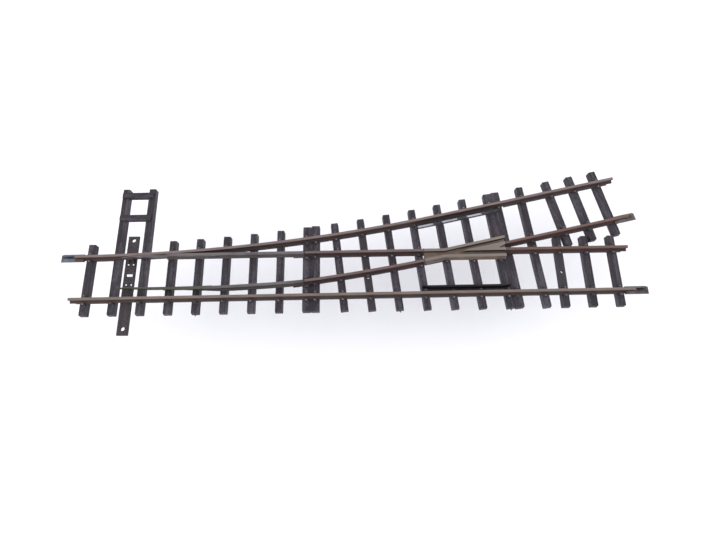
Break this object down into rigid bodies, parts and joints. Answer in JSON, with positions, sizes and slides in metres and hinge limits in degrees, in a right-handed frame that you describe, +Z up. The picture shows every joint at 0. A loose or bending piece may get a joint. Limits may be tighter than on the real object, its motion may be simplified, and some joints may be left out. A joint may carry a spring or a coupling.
{
  "type": "model turnout switch",
  "caption": "Left-hand model railway turnout: stock rails, swinging blades on a throwbar, closure rails, cast frog, check rails and joiners on moulded sleepers.",
  "frame": {"origin": "at the toe joint, on the straight route's centre line, in the plane of the sleepers' undersides", "axes": "+X along the straight route from the toe to the heel, +Y towards the diverging route, +Z up"},
  "size_m": [0.1685, 0.0489, 0.0038],
  "materials": {
    "sleeper_plastic": "moulded wood grain, matte",
    "painted_rail": "brown weathering paint, worn on the head",
    "blade_metal": "bare drawn nickel silver, satin",
    "frog_metal": "bare cast nickel silver, dulled",
    "insulator_plastic": "dark moulded chip",
    "check_rail_plastic": "glossy black",
    "joiner_metal": "blackened folded sheet, satin",
    "brass": "dull",
    "copper_wire": "dull tinned copper",
    "throwbar_fibre": "fine matte texture",
    "clip_metal": "folded spring sheet"
  },
  "bodies": {
    "base": {"toe_sleeper_base": "sleeper_plastic", "closure_sleeper_base": "sleeper_plastic", "heel_sleeper_base": "sleeper_plastic", "straight_stock_rail": "painted_rail", "curved_stock_rail": "painted_rail", "straight_closure_rail": "painted_rail", "curved_closure_rail": "painted_rail", "frog_casting": "frog_metal", "frog_toe_insulators": "insulator_plastic", "frog_heel_insulators": "insulator_plastic", "straight_exit_rail": "painted_rail", "diverging_exit_rail": "painted_rail", "straight_check_rail": "check_rail_plastic", "curved_check_rail": "check_rail_plastic", "straight_heel_strap": "brass", "curved_heel_strap": "brass", "heel_studs": "brass", "toe_rail_joiner": "joiner_metal", "straight_heel_joiner": "joiner_metal", "diverging_heel_joiner": "joiner_metal", "bond_wires": "copper_wire"},
    "throwbar": {"throwbar": "throwbar_fibre"},
    "straight_blade": {"straight_blade": "blade_metal", "straight_blade_clip": "clip_metal"},
    "curved_blade": {"curved_blade": "blade_metal", "curved_blade_clip": "clip_metal"}
  },
  "joints": [
    {"name": "throwbar_slide", "type": "slide", "parent": "base", "child": "throwbar", "axis": [0, -1, 0], "range_m": [0, 0.00245]},
    {"name": "straight_blade_hinge", "type": "hinge", "parent": "base", "child": "straight_blade", "pos_m": [0.0643, 0.0064, 0.002], "axis": [0, 0, 1], "range_deg": [0, 2.87]},
    {"name": "curved_blade_hinge", "type": "hinge", "parent": "base", "child": "curved_blade", "pos_m": [0.0643, -0.00242, 0.002], "axis": [0, 0, 1], "range_deg": [0, 2.87]}
  ],
  "couplings": [
    {"joint": "straight_blade_hinge", "follows": "throwbar_slide", "rad_per_m": 20.469},
    {"joint": "curved_blade_hinge", "follows": "throwbar_slide", "rad_per_m": 20.469}
  ]
}
